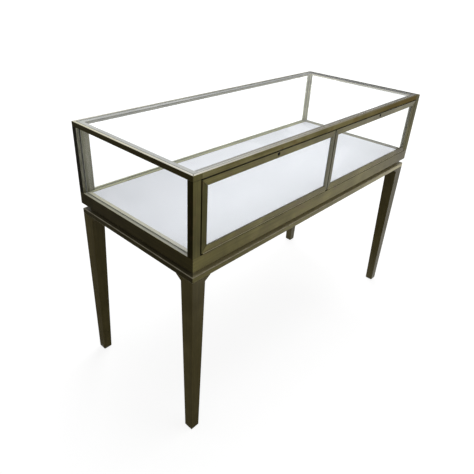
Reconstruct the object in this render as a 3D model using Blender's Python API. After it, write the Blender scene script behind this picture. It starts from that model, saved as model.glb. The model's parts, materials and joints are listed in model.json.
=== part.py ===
"""Glass display cabinet: a glazed case with two drop-down doors, on a stand with tapered legs.

Metres, +Z up. The front faces -Y, X runs along the length, and the floor is at Z = 0 under the middle.
"""

import math

import bmesh
import bpy
from mathutils import Matrix, Vector

# Overall sizes
LENGTH = 1.200
DEPTH = 0.520
STAND_HEIGHT = 0.596
REVEAL_HEIGHT = 0.018
GLAZED_HEIGHT = 0.211

# Case frame
BASE_RAIL_HEIGHT = 0.040
BASE_RAIL_WIDTH = 0.0285
TOP_RAIL_HEIGHT = 0.015
TOP_RAIL_WIDTH = 0.0265
TOP_LIP = 0.009
INNER_WALL = 0.0044
FRONT_POST_WIDTH = 0.026
STOP_REACH = 0.010
COVER_WIDTH = 0.0235

# Glass and its seats
PANE = 0.005
TOP_PANE = 0.006
TOP_SEAL = 0.001
GLASS_SETBACK = 0.010
GROOVE_DEPTH = 0.003

# Deck and base panel
DECK_THICKNESS = 0.012
DECK_DROP = 0.001
LEDGE_REACH = 0.012
LEDGE_THICKNESS = 0.003
PANEL_THICKNESS = 0.003

# Stand
REVEAL_INSET = 0.018
PLINTH_WIDTH = 0.020
STAND_INSET = 0.002
APRON_HEIGHT = 0.0175
LEG_TOP = 0.046
LEG_FOOT = 0.030
BRACKET_REACH = 0.020
BRACKET_DROP = 0.014
BRACKET_DEPTH = 0.020
BRACKET_INSET = 0.0006
GLIDE_HEIGHT = 0.003
GLIDE_INSET = 0.002

# Doors
DOOR_THICKNESS = 0.011
DOOR_MEMBER = 0.018
DOOR_MEETING = 0.015
DOOR_LIP = 0.004
DOOR_REBATE = 0.005
DOOR_PANE = 0.004
BEAD_DEPTH = 0.002
BEAD_HEIGHT = 0.0015

# Continuous hinge under each door
HINGE_RADIUS = 0.0020
HINGE_SHEET = 0.0008
HINGE_PIN_RADIUS = 0.0009
HINGE_LEAF_WIDTH = 0.0085
HINGE_END = 0.006
KNUCKLE_PITCH = 0.034
KNUCKLE_ROLL = math.radians(290)
KNUCKLE_STEPS = 10

# Cam lock in each door's top rail
LOCK_RADIUS = 0.0040
LOCK_WALL = 0.0010
PLUG_RECESS = 0.0006
PLUG_TAIL = 0.0030
KEYWAY_WIDTH = 0.0009
KEYWAY_HEIGHT = 0.0038
KEYWAY_DEPTH = 0.006
CAM_THICKNESS = 0.0015
CAM_HALF_WIDTH = 0.0045
CAM_BITE = 0.005
ROUND_STEPS = 24
PIN_STEPS = 12

# Clearances
SEAT_GAP = 0.0003
DOOR_GAP = 0.0035
GLASS_CLEARANCE = 0.0005
STOP_GAP = 0.0003
HINGE_RECESS = 0.0002
KNUCKLE_GAP = 0.0006
TRIM_REVEAL = 0.0005

# Worked out from the sizes above
MITRE_GAP = SEAT_GAP / math.sqrt(2)
GROOVE_WIDTH = PANE + 2 * SEAT_GAP
GROOVE_IN = GLASS_SETBACK + GROOVE_WIDTH
BACK_POST = GROOVE_IN + INNER_WALL
FRONT_POST_DEPTH = BACK_POST
APRON_LOW = STAND_HEIGHT - APRON_HEIGHT
CASE_LOW = STAND_HEIGHT + REVEAL_HEIGHT
OPENING_LOW = CASE_LOW + BASE_RAIL_HEIGHT
OPENING_HIGH = OPENING_LOW + GLAZED_HEIGHT
HEIGHT = OPENING_HIGH + TOP_RAIL_HEIGHT
TOP_LEDGE = TOP_RAIL_HEIGHT - TOP_PANE - TOP_SEAL - 2 * SEAT_GAP
HINGE_GAP = HINGE_RADIUS + SEAT_GAP
HINGE_SETBACK = HINGE_RADIUS + HINGE_RECESS
DOOR_WIDTH = (LENGTH - 2 * FRONT_POST_WIDTH - 3 * DOOR_GAP) / 2
DOOR_HEIGHT = GLAZED_HEIGHT - 2 * HINGE_GAP - DOOR_GAP
DOOR_BODY = DOOR_MEMBER - DOOR_REBATE
LOCK_DROP = DOOR_BODY / 2
CAM_FRONT = max(DOOR_THICKNESS, TOP_RAIL_WIDTH) + 2 * SEAT_GAP
CAM_LENGTH = LOCK_DROP + DOOR_GAP + CAM_BITE
PLUG_RADIUS = LOCK_RADIUS - LOCK_WALL - SEAT_GAP

X = Vector((1, 0, 0))
Y = Vector((0, 1, 0))
Z = Vector((0, 0, 1))
CASE_SIDES = {"front": Y, "back": -Y, "left": X, "right": -X}
ENDS = {"left": -1, "right": 1}

# Finishes: base colour, roughness, metallic, alpha
BRONZE = ((0.22, 0.20, 0.125), 0.38, 1.0, 1.0)
DARK_BRONZE = ((0.12, 0.105, 0.065), 0.45, 1.0, 1.0)
GLASS = ((0.90, 0.95, 0.93), 0.03, 0.0, 0.25)
WHITE_BOARD = ((0.84, 0.85, 0.88), 0.45, 0.0, 1.0)
GREY_BOARD = ((0.30, 0.29, 0.27), 0.60, 0.0, 1.0)
SEAL = ((0.36, 0.36, 0.34), 0.70, 0.0, 1.0)
BLACK_METAL = ((0.02, 0.02, 0.02), 0.35, 0.8, 1.0)
STEEL = ((0.55, 0.55, 0.54), 0.30, 1.0, 1.0)
RUBBER = ((0.02, 0.02, 0.02), 0.80, 0.0, 1.0)


def clear_scene():
    for thing in list(bpy.data.objects):
        bpy.data.objects.remove(thing)


# Building blocks

def loft(loops, hoop=False, shape=None):
    """A closed solid through loops of matching points: capped at both ends, or joined into a hoop."""
    shape = shape or bmesh.new()
    rings = [[shape.verts.new(point) for point in loop] for loop in loops]
    pairs = list(zip(rings, rings[1:]))
    if hoop:
        pairs.append((rings[-1], rings[0]))
    else:
        shape.faces.new(rings[0])
        shape.faces.new(rings[-1])
    for near, far in pairs:
        for i in range(len(near)):
            shape.faces.new((near[i - 1], near[i], far[i], far[i - 1]))
    return shape


def level(outline, z):
    return [(x, y, z) for x, y in outline]


def upright(outline, y):
    return [(x, y, z) for x, z in outline]


def rectangle(half_width, half_height, centre=(0, 0)):
    corners = ((-1, -1), (1, -1), (1, 1), (-1, 1))
    return [(centre[0] + a * half_width, centre[1] + b * half_height) for a, b in corners]


def circle(radius, steps):
    turns = [2 * math.pi * i / steps for i in range(steps)]
    return [(radius * math.cos(turn), radius * math.sin(turn)) for turn in turns]


def prism(outline, low, high):
    return loft([level(outline, low), level(outline, high)])


def upright_prism(outline, near, far):
    return loft([upright(outline, near), upright(outline, far)])


def mitred_bar(profile, length, slopes=(1, 1)):
    """A bar along X with mitred ends. A profile point is (inward, across). A slope is 1 at 45 degrees."""
    loops = []
    for end, slope in zip((-1, 1), slopes):
        half = length / 2 - MITRE_GAP
        loops.append([(end * (half - slope * inward), inward, across) for inward, across in profile])
    return loft(loops)


def side_place(inward, across, middle):
    """Puts a bar's own Y along inward and its own Z along across."""
    place = Matrix((inward.cross(across), inward, across)).transposed().to_4x4()
    place.translation = middle
    return place


def make_material(name, finish):
    colour, roughness, metallic, alpha = finish
    material = bpy.data.materials.new(name)
    material.use_nodes = True
    shader = material.node_tree.nodes["Principled BSDF"]
    shader.inputs["Base Color"].default_value = (*colour, 1)
    shader.inputs["Roughness"].default_value = roughness
    shader.inputs["Metallic"].default_value = metallic
    shader.inputs["Alpha"].default_value = alpha
    return material


def add_piece(name, shape, finish, place=Matrix(), parent=None):
    mesh = bpy.data.meshes.new(name)
    bmesh.ops.recalc_face_normals(shape, faces=shape.faces)
    shape.to_mesh(mesh)
    shape.free()
    piece = bpy.data.objects.new(name, mesh)
    if finish:
        mesh.materials.append(make_material(name, finish))
    bpy.context.scene.collection.objects.link(piece)
    piece.parent = parent
    piece.matrix_local = place
    return piece


def add_axis(name, location, parent=None):
    """An empty on a joint's axis, which carries what moves about it."""
    axis = bpy.data.objects.new(name, None)
    axis.empty_display_size = 0.03
    bpy.context.scene.collection.objects.link(axis)
    axis.parent = parent
    axis.location = location
    return axis


def combine(piece, operation, shape):
    """Joins a helper shape to a piece, or cuts it away. The helper lies in the piece's own frame."""
    helper = add_piece(f"{piece.name}_{operation.lower()}", shape, None, parent=piece)
    helper.hide_render = True
    helper.display_type = "WIRE"
    modifier = piece.modifiers.new(helper.name, "BOOLEAN")
    modifier.operation = operation
    modifier.solver = "EXACT"
    modifier.object = helper


def shade_round(piece):
    piece.data.shade_smooth()
    piece.data.set_sharp_from_angle(angle=math.radians(35))


# Case frame

def add_ring(name, length, depth, low, profile_of, finish):
    """Four mitred bars round a rectangle, one to a side."""
    for side, inward in CASE_SIDES.items():
        long_side = side in ("front", "back")
        span, reach = (length, depth) if long_side else (depth, length)
        place = side_place(inward, Z, Z * low - inward * reach / 2)
        add_piece(f"{name}_{side}", mitred_bar(profile_of(side), span), finish, place)


def bar_profile(width, low, high):
    return lambda side: [(0, low), (width, low), (width, high), (0, high)]


def base_rail_profile(side):
    """A deep rail with a ledge for the deck, and a groove on top for the glass of the three fixed sides."""
    top = BASE_RAIL_HEIGHT
    ledge_high = top - DECK_DROP - DECK_THICKNESS - SEAT_GAP
    ledge_low = ledge_high - LEDGE_THICKNESS
    width = BASE_RAIL_WIDTH
    reach = width + LEDGE_REACH
    profile = [(0, SEAT_GAP), (width, SEAT_GAP), (width, ledge_low), (reach, ledge_low)]
    profile += [(reach, ledge_high), (width, ledge_high), (width, top)]
    if side != "front":
        floor = top - GROOVE_DEPTH
        profile += [(GROOVE_IN, top), (GROOVE_IN, floor), (GLASS_SETBACK, floor), (GLASS_SETBACK, top)]
    return profile + [(0, top)]


def top_rail_profile(side):
    """A low rail with a wide rebate for the top glass, and a groove below on the three fixed sides."""
    profile = [(0, 0)]
    if side != "front":
        profile += [(GLASS_SETBACK, 0), (GLASS_SETBACK, GROOVE_DEPTH)]
        profile += [(GROOVE_IN, GROOVE_DEPTH), (GROOVE_IN, 0)]
    profile += [(TOP_RAIL_WIDTH, 0), (TOP_RAIL_WIDTH, TOP_LEDGE), (TOP_LIP, TOP_LEDGE)]
    return profile + [(TOP_LIP, TOP_RAIL_HEIGHT), (0, TOP_RAIL_HEIGHT)]


def front_post_outline():
    """Wide post with a folded lip that stops the door, and a groove for the end glass."""
    lip_near = DOOR_THICKNESS + STOP_GAP
    lip_end = FRONT_POST_WIDTH + STOP_REACH
    floor = FRONT_POST_DEPTH - GROOVE_DEPTH
    return [
        (0, 0), (FRONT_POST_WIDTH, 0), (FRONT_POST_WIDTH, lip_near), (lip_end, lip_near),
        (lip_end, FRONT_POST_DEPTH), (GROOVE_IN, FRONT_POST_DEPTH), (GROOVE_IN, floor),
        (GLASS_SETBACK, floor), (GLASS_SETBACK, FRONT_POST_DEPTH), (0, FRONT_POST_DEPTH),
    ]


def back_post_outline():
    """Square post with one groove for the back glass and one for the end glass."""
    floor = BACK_POST - GROOVE_DEPTH
    back_groove = [(BACK_POST, GLASS_SETBACK), (floor, GLASS_SETBACK)]
    back_groove += [(floor, GROOVE_IN), (BACK_POST, GROOVE_IN)]
    end_groove = [(across, inward) for inward, across in reversed(back_groove)]
    return [(0, 0), (BACK_POST, 0), *back_groove, (BACK_POST, BACK_POST), *end_groove, (0, BACK_POST)]


def add_posts():
    for row, toward, outline in (("front", 1, front_post_outline()), ("back", -1, back_post_outline())):
        for end, sign in ENDS.items():
            turned = [(-sign * inward, toward * across) for inward, across in outline]
            shape = prism(turned, OPENING_LOW + SEAT_GAP, OPENING_HIGH - SEAT_GAP)
            corner = Matrix.Translation((sign * LENGTH / 2, -toward * DEPTH / 2, 0))
            add_piece(f"post_{row}_{end}", shape, BRONZE, corner)


def add_corner_cover():
    """Flat strip beside the back left post, flush with the post's inner face and close to the back glass."""
    near = DEPTH / 2 - BACK_POST
    far = DEPTH / 2 - GLASS_SETBACK - PANE - 2 * SEAT_GAP
    start = -LENGTH / 2 + BACK_POST + SEAT_GAP
    outline = [(start, near), (start + COVER_WIDTH, near), (start + COVER_WIDTH, far), (start, far)]
    add_piece("corner_cover", prism(outline, OPENING_LOW + SEAT_GAP, OPENING_HIGH - SEAT_GAP), BRONZE)


# Glass, deck and panel

def add_fixed_glass():
    bite = GROOVE_DEPTH - SEAT_GAP
    low = OPENING_LOW - bite
    high = OPENING_HIGH + bite
    half_pane = PANE / 2
    face = GLASS_SETBACK + GROOVE_WIDTH / 2

    front_edge = -DEPTH / 2 + FRONT_POST_DEPTH - bite
    back_edge = DEPTH / 2 - BACK_POST + bite
    half_run = (back_edge - front_edge) / 2
    for end, sign in ENDS.items():
        middle = (sign * (LENGTH / 2 - face), (front_edge + back_edge) / 2)
        add_piece(f"glass_{end}", prism(rectangle(half_pane, half_run, middle), low, high), GLASS)

    half_length = LENGTH / 2 - BACK_POST + bite
    back = rectangle(half_length, half_pane, (0, DEPTH / 2 - face))
    add_piece("glass_back", prism(back, low, high), GLASS)


def add_top_glass():
    """The top pane lies on a thin, wide seal in the top rails' rebate, flush with the frame."""
    edge = TOP_LIP + GLASS_CLEARANCE
    pane = rectangle(LENGTH / 2 - edge, DEPTH / 2 - edge)
    add_piece("glass_top", prism(pane, HEIGHT - TOP_PANE, HEIGHT), GLASS)

    outer = rectangle(LENGTH / 2 - edge, DEPTH / 2 - edge)
    inset = TOP_RAIL_WIDTH - TRIM_REVEAL
    inner = rectangle(LENGTH / 2 - inset, DEPTH / 2 - inset)
    low = OPENING_HIGH + TOP_LEDGE + SEAT_GAP
    high = low + TOP_SEAL
    seal = loft([level(outer, low), level(outer, high), level(inner, high), level(inner, low)], hoop=True)
    add_piece("top_glass_seal", seal, SEAL)


def add_deck():
    edge = BASE_RAIL_WIDTH + GLASS_CLEARANCE
    plan = rectangle(LENGTH / 2 - edge, DEPTH / 2 - edge)
    top = OPENING_LOW - DECK_DROP
    add_piece("display_deck", prism(plan, top - DECK_THICKNESS, top), WHITE_BOARD)

    low = CASE_LOW + SEAT_GAP
    add_piece("base_panel", prism(plan, low, low + PANEL_THICKNESS), GREY_BOARD)


# Stand

def leg_shape(along, across):
    """A square leg, upright on its two outer faces and tapered on its two inner ones."""
    loops = []
    for side, z in ((LEG_FOOT, GLIDE_HEIGHT + SEAT_GAP), (LEG_TOP, APRON_LOW - SEAT_GAP)):
        loops.append(level([(0, 0), (along * side, 0), (along * side, across * side), (0, across * side)], z))
    return loft(loops)


def bracket_shape(along, across):
    """The two sloping brackets between a leg and the aprons, rooted inside the leg."""
    root = BRACKET_DEPTH + 2 * SEAT_GAP
    high = APRON_LOW - 2 * SEAT_GAP
    reach = LEG_TOP + BRACKET_REACH
    slope = BRACKET_DROP / BRACKET_REACH
    outline = [(root, high), (reach, high), (root, high - slope * (reach - root))]
    shape = bmesh.new()
    walls = (BRACKET_INSET, BRACKET_DEPTH)
    loft([[(along * out, across * wall, z) for out, z in outline] for wall in walls], shape=shape)
    loft([[(along * wall, across * out, z) for out, z in outline] for wall in walls], shape=shape)
    return shape


def add_legs():
    for row, toward in (("front", 1), ("back", -1)):
        for end, sign in ENDS.items():
            corner = Vector((sign * (LENGTH / 2 - STAND_INSET), -toward * (DEPTH / 2 - STAND_INSET), 0))
            leg = add_piece(f"leg_{row}_{end}", leg_shape(-sign, toward), BRONZE, Matrix.Translation(corner))
            combine(leg, "UNION", bracket_shape(-sign, toward))
            middle = corner + Vector((-sign, toward, 0)) * LEG_FOOT / 2
            foot = rectangle(LEG_FOOT / 2 - GLIDE_INSET, LEG_FOOT / 2 - GLIDE_INSET)
            glide = prism(foot, 0, GLIDE_HEIGHT)
            add_piece(f"foot_glide_{row}_{end}", glide, RUBBER, Matrix.Translation(middle))


def add_stand():
    plinth = bar_profile(PLINTH_WIDTH, SEAT_GAP, REVEAL_HEIGHT)
    add_ring("plinth", LENGTH - 2 * REVEAL_INSET, DEPTH - 2 * REVEAL_INSET, STAND_HEIGHT, plinth, DARK_BRONZE)
    apron = bar_profile(LEG_TOP, 0, APRON_HEIGHT)
    add_ring("apron", LENGTH - 2 * STAND_INSET, DEPTH - 2 * STAND_INSET, APRON_LOW, apron, BRONZE)
    add_legs()


# Doors

def door_profile(width):
    """A door bar: a front lip that covers the glass edge, and a rebate open to the back."""
    body = width - DOOR_REBATE
    lip = [(0, 0), (width, 0), (width, DOOR_LIP), (body, DOOR_LIP)]
    return lip + [(body, DOOR_THICKNESS), (0, DOOR_THICKNESS)]


def add_door_frame(end, outer, axis):
    """Two rails and two stiles. The stile where the doors meet is slimmer, so its mitres lean."""
    middle = Vector((0, -HINGE_SETBACK, HINGE_GAP + DOOR_HEIGHT / 2))
    lean = DOOR_MEETING / DOOR_MEMBER
    ends = (lean, 1) if outer < 0 else (1, lean)
    members = {
        "bottom_rail": (Z, DOOR_WIDTH, DOOR_HEIGHT, DOOR_MEMBER, ends),
        "top_rail": (-Z, DOOR_WIDTH, DOOR_HEIGHT, DOOR_MEMBER, ends[::-1]),
        "outer_stile": (-outer * X, DOOR_HEIGHT, DOOR_WIDTH, DOOR_MEMBER, (1, 1)),
        "inner_stile": (outer * X, DOOR_HEIGHT, DOOR_WIDTH, DOOR_MEETING, (1 / lean, 1 / lean)),
    }
    pieces = {}
    for member, (inward, span, reach, width, slopes) in members.items():
        place = side_place(inward, Y, middle - inward * reach / 2)
        bar = mitred_bar(door_profile(width), span, slopes)
        pieces[member] = add_piece(f"{end}_door_{member}", bar, BRONZE, place, axis)

    hole = loft([[(x, y, z) for x, y in circle_at_lock()] for z in (-DOOR_THICKNESS, 2 * DOOR_THICKNESS)])
    combine(pieces["top_rail"], "DIFFERENCE", hole)


def circle_at_lock():
    """The lock's hole, in the top rail's own frame."""
    return [(x, y + LOCK_DROP) for x, y in circle(LOCK_RADIUS + SEAT_GAP, ROUND_STEPS)]


def door_opening(outer, cover):
    """The opening inside a door's bars, widened all round by a cover."""
    half_width = (DOOR_WIDTH - DOOR_MEMBER - DOOR_MEETING) / 2 + cover
    half_height = DOOR_HEIGHT / 2 - DOOR_MEMBER + cover
    shift = outer * (DOOR_MEETING - DOOR_MEMBER) / 2
    return rectangle(half_width, half_height, (shift, HINGE_GAP + DOOR_HEIGHT / 2))


def add_door_glazing(end, outer, axis):
    """The pane lies against the bars' front lips, and a low bead behind it holds it there."""
    cover = DOOR_REBATE - GLASS_CLEARANCE
    pane = door_opening(outer, cover)
    near = -HINGE_SETBACK + DOOR_LIP + SEAT_GAP
    add_piece(f"{end}_door_glass", upright_prism(pane, near, near + DOOR_PANE), GLASS, parent=axis)

    inner = door_opening(outer, cover - BEAD_HEIGHT)
    near += DOOR_PANE + SEAT_GAP
    far = near + BEAD_DEPTH
    loops = [upright(pane, near), upright(pane, far), upright(inner, far), upright(inner, near)]
    add_piece(f"{end}_door_bead", loft(loops, hoop=True), SEAL, parent=axis)


def knuckle_outline(up):
    """The sheet from the leaf's root, rolled round the pin and back: (y, z) points, outside then inside."""
    root = HINGE_RADIUS + KNUCKLE_GAP
    inside = HINGE_RADIUS - HINGE_SHEET
    turns = [math.pi / 2 + KNUCKLE_ROLL * i / KNUCKLE_STEPS for i in range(KNUCKLE_STEPS + 1)]
    outer = [(HINGE_RADIUS * math.cos(turn), HINGE_RADIUS * math.sin(turn)) for turn in turns]
    inner = [(inside * math.cos(turn), inside * math.sin(turn)) for turn in reversed(turns)]
    outline = [(root, HINGE_RADIUS), *outer, *inner, (root, inside)]
    return [(y, up * z) for y, z in outline]


def hinge_leaf(length, first, up):
    """One leaf of a continuous hinge: a plate with every second knuckle rolled from its front edge.

    The pin lies along X. The leaf is above it where up is 1 and below it where up is -1.
    """
    count = 2 * round(length / KNUCKLE_PITCH / 2) + 1
    pitch = length / count
    outline = knuckle_outline(up)
    cuts = [-length / 2]
    for i in range(first, count, 2):
        start = -length / 2 + i * pitch
        cuts += [start + KNUCKLE_GAP / 2, start + pitch - KNUCKLE_GAP / 2]
    cuts.append(length / 2)

    shape = bmesh.new()
    (root_y, skin_z), (_, inside_z) = outline[0], outline[-1]
    corners = [(root_y, skin_z), (HINGE_LEAF_WIDTH, skin_z), (HINGE_LEAF_WIDTH, inside_z), (root_y, inside_z)]
    rows = [[shape.verts.new((x, y, z)) for y, z in corners] for x in cuts]
    shape.faces.new(rows[0])
    shape.faces.new(rows[-1])
    for i, (near, far) in enumerate(zip(rows, rows[1:])):
        for side in range(3):
            shape.faces.new((near[side], near[side + 1], far[side + 1], far[side]))
        if i % 2:
            rolls = []
            for row, x in ((near, cuts[i]), (far, cuts[i + 1])):
                rolled = [shape.verts.new((x, y, z)) for y, z in outline[1:-1]]
                rolls.append([row[0], *rolled, row[3]])
                shape.faces.new(rolls[-1])
            for j in range(len(outline) - 1):
                shape.faces.new((rolls[0][j], rolls[0][j + 1], rolls[1][j + 1], rolls[1][j]))
        else:
            shape.faces.new((near[3], near[0], far[0], far[3]))
    return shape


def add_hinge(end, axis):
    """The lower leaf and the pin stay with the case. The upper leaf turns with the door."""
    length = DOOR_WIDTH - 2 * HINGE_END
    place = Matrix.Translation(axis.location)
    lower = add_piece(f"{end}_hinge_frame_leaf", hinge_leaf(length, 0, -1), DARK_BRONZE, place)
    upper = add_piece(f"{end}_hinge_door_leaf", hinge_leaf(length, 1, 1), DARK_BRONZE, parent=axis)
    rod = [[(x, y, z) for y, z in circle(HINGE_PIN_RADIUS, PIN_STEPS)] for x in (-length / 2, length / 2)]
    pin = add_piece(f"{end}_hinge_pin", loft(rod), STEEL, place)
    for piece in (lower, upper, pin):
        shade_round(piece)


def cam_outline(toward):
    """A flat tongue with round ends, pointing towards the middle of the cabinet."""
    steps = ROUND_STEPS // 2
    turns = [math.pi / 2 + math.pi * i / steps for i in range(steps + 1)]
    arc = [(CAM_HALF_WIDTH * math.cos(turn), CAM_HALF_WIDTH * math.sin(turn)) for turn in turns]
    tip = CAM_LENGTH - CAM_HALF_WIDTH
    return [(toward * x, z) for x, z in arc] + [(toward * (tip - x), -z) for x, z in arc]


def add_lock(end, outer, axis):
    """A barrel through the door's top rail, and a plug and cam that turn in it."""
    door_front = -HINGE_SETBACK
    centre = (0, door_front, HINGE_GAP + DOOR_HEIGHT - LOCK_DROP)
    tail_start = CAM_FRONT - SEAT_GAP

    front = SEAT_GAP
    outside = circle(LOCK_RADIUS, ROUND_STEPS)
    bore = circle(LOCK_RADIUS - LOCK_WALL, ROUND_STEPS)
    loops = [upright(outside, front), upright(outside, tail_start)]
    loops += [upright(bore, tail_start), upright(bore, front)]
    place = Matrix.Translation(centre)
    barrel = add_piece(f"{end}_lock_barrel", loft(loops, hoop=True), BLACK_METAL, place, axis)

    turn_axis = add_axis(f"{end}_lock_axis", centre, axis)
    body = upright_prism(circle(PLUG_RADIUS, ROUND_STEPS), PLUG_RECESS, tail_start)
    plug = add_piece(f"{end}_lock_plug", body, BLACK_METAL, parent=turn_axis)
    keyway = rectangle(KEYWAY_WIDTH / 2, KEYWAY_HEIGHT / 2)
    combine(plug, "DIFFERENCE", upright_prism(keyway, -PLUG_RECESS, KEYWAY_DEPTH))
    tail_end = CAM_FRONT + CAM_THICKNESS + SEAT_GAP
    tail = rectangle(PLUG_TAIL / 2, PLUG_TAIL / 2)
    combine(plug, "UNION", upright_prism(tail, tail_start - PLUG_TAIL, tail_end))

    tongue = upright_prism(cam_outline(-outer), CAM_FRONT, CAM_FRONT + CAM_THICKNESS)
    cam = add_piece(f"{end}_lock_cam", tongue, STEEL, parent=turn_axis)
    seat = PLUG_TAIL / 2 + SEAT_GAP
    combine(cam, "DIFFERENCE", upright_prism(rectangle(seat, seat), 0, CAM_FRONT + 2 * CAM_THICKNESS))
    for piece in (barrel, plug, cam):
        shade_round(piece)


def add_doors():
    for end, outer in ENDS.items():
        middle = outer * (DOOR_GAP + DOOR_WIDTH) / 2
        axis = add_axis(f"{end}_door_axis", (middle, -DEPTH / 2 + HINGE_SETBACK, OPENING_LOW + HINGE_GAP))
        add_door_frame(end, outer, axis)
        add_door_glazing(end, outer, axis)
        add_hinge(end, axis)
        add_lock(end, outer, axis)


def main():
    clear_scene()
    add_ring("base_rail", LENGTH, DEPTH, CASE_LOW, base_rail_profile, BRONZE)
    add_ring("top_rail", LENGTH, DEPTH, OPENING_HIGH, top_rail_profile, BRONZE)
    add_posts()
    add_corner_cover()
    add_fixed_glass()
    add_top_glass()
    add_deck()
    add_stand()
    add_doors()


main()
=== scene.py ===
"""Looks of the glass display cabinet.

Finishes, softened edges, fasteners, glazing lines, studio and camera.
Metres, +Z up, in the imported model's own frame.
"""

import json
import math

import bmesh
import bpy
from mathutils import Matrix, Vector


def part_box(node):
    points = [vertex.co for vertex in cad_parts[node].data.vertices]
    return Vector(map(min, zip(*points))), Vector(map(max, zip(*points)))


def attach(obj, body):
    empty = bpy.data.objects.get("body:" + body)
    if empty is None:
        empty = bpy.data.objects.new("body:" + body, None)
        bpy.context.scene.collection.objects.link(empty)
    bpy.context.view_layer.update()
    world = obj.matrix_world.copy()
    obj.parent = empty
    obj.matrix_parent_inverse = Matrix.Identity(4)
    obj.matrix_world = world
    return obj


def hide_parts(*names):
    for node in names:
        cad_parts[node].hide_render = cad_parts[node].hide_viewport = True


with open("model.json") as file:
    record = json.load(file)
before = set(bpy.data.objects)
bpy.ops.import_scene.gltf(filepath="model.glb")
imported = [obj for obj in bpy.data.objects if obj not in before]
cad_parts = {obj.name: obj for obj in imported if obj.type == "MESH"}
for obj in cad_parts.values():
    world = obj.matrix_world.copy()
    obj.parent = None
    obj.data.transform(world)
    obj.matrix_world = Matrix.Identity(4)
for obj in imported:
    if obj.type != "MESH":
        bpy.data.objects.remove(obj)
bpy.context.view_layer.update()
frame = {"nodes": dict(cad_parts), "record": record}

BODY_OF = {node: body for body, nodes in frame["record"]["behaviour"]["bodies"].items() for node in nodes}
SLOT_OF = {row["node"]: row["material_slot"] for row in frame["record"]["subparts"]}
SIDES = ("left", "right")
AXES = "xyz"
UP = Vector((0, 0, 1))
LEFT = Vector((-1, 0, 0))
FORWARD = Vector((0, -1, 0))

# Least share of a face's normal along the way that it looks, and along a bar for its mitred ends, and the
# share under which a face of a pane belongs to its rim
FACING = 0.9
MITRE = 0.6
RIM = 0.5

# Edges: how far each kind of piece is rounded
BAR_ROUND = 0.0007
DOOR_ROUND = 0.0004
APRON_ROUND = 0.0016
TRIM_ROUND = 0.0003
LOCK_ROUND = 0.00015
PANE_ARRIS = 0.0005
BOARD_ROUND = 0.0008
GLIDE_ROUND = 0.0010
MERGE = 0.00001
FLAT_ANGLE = math.radians(1)
SHARP_ANGLE = math.radians(30)

# Bronze and steel: the deepest and the brightest reflectance of each finish. The plain bronze, the legs and
# the steel have their own colours; the other bronzes are lighter, darker and greyer copies of it, painted
# light, shade and reflection
BRONZE_TONES = ((0.057, 0.048, 0.009), (0.138, 0.119, 0.032))
# Painted reflection: a lighter, greyer copy of the bronze for the front top rail, in place of a lacquer's
# sheen
PAINTED_REFLECTION_TOP_TONES = ((0.065, 0.058, 0.021), (0.159, 0.145, 0.071))
# Painted shade: darker copies of the bronze for posts and outer stiles, a little lighter on the front left
# post
SHADED_UPRIGHT_TONES = ((0.024, 0.021, 0.004), (0.064, 0.058, 0.016))
SHADED_FRONT_POST_TONES = ((0.036, 0.031, 0.007), (0.088, 0.078, 0.024))
# Painted reflection: a greyer copy of the bronze for the middle stiles
GREY_REFLECTION_MIDDLE_TONES = ((0.052, 0.048, 0.020), (0.115, 0.108, 0.055))
# Painted light: a pale copy of the bronze for the back left post and the corner cover
LIT_BACK_TONES = ((0.19, 0.182, 0.13), (0.29, 0.28, 0.205))
# Painted shade: near-black bronze on the back left post's left face
PAINTED_SHADE_TONES = ((0.014, 0.012, 0.007), (0.026, 0.023, 0.014))
LEG_TONES = ((0.092, 0.074, 0.023), (0.155, 0.126, 0.045))
# Painted light on the front apron's top and the front plinth; painted shade on the tops and plinths of the
# other sides
LIT_LEDGE_TONES = ((0.42, 0.365, 0.19), (0.58, 0.515, 0.30))
SHADED_SIDE_LEDGE_TONES = ((0.10, 0.086, 0.045), (0.155, 0.135, 0.075))
# Painted light: pale bronze on faces of posts and stiles that look left, away from the lamps
LIT_INNER_TONES = ((0.42, 0.40, 0.29), (0.55, 0.53, 0.41))
# Painted light: a pale copy of the bronze for the back right post
LIT_BACK_RIGHT_POST_TONES = ((0.66, 0.635, 0.41), (0.82, 0.79, 0.54))
# Painted light: pale hinge leaves that lift the shade in the seam under the doors
LIT_HINGE_TONES = ((0.50, 0.45, 0.26), (0.66, 0.60, 0.37))
# Painted shade: dark bronze on faces in the seams round the doors, at the foot of the door glass and on
# hinge pins
SHADED_LIP_TONES = ((0.045, 0.039, 0.017), (0.075, 0.066, 0.030))
# Painted highlight: a pale coat on the rounded edges of the aprons
HIGHLIGHT_EDGE_TONES = ((0.40, 0.36, 0.24), (0.60, 0.555, 0.42))
STEEL_TONES = ((0.42, 0.42, 0.41), (0.62, 0.62, 0.60))
BRONZE_STAIN = (0.090, 0.064, 0.024)
# Stains of the pale back copy, lightened with its painted light
LIT_BACK_STAIN = (0.20, 0.19, 0.145)
STEEL_STAIN = (0.34, 0.32, 0.29)
BRONZE_ROUGHNESS = 0.37
STEEL_ROUGHNESS = 0.30
LACQUER = 0.3
THIN_LACQUER = 0.2
NO_LACQUER = 0.0
LACQUER_ROUGHNESS = 0.25
COAT_ROUGHNESS = (0.46, 0.34)
COAT_SHEEN = 0.12
LEG_SHEEN = 0.20
WHITE = (1, 1, 1, 1)
UPRIGHT_GRAZING = (0.80, 0.76, 0.62, 1)

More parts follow.
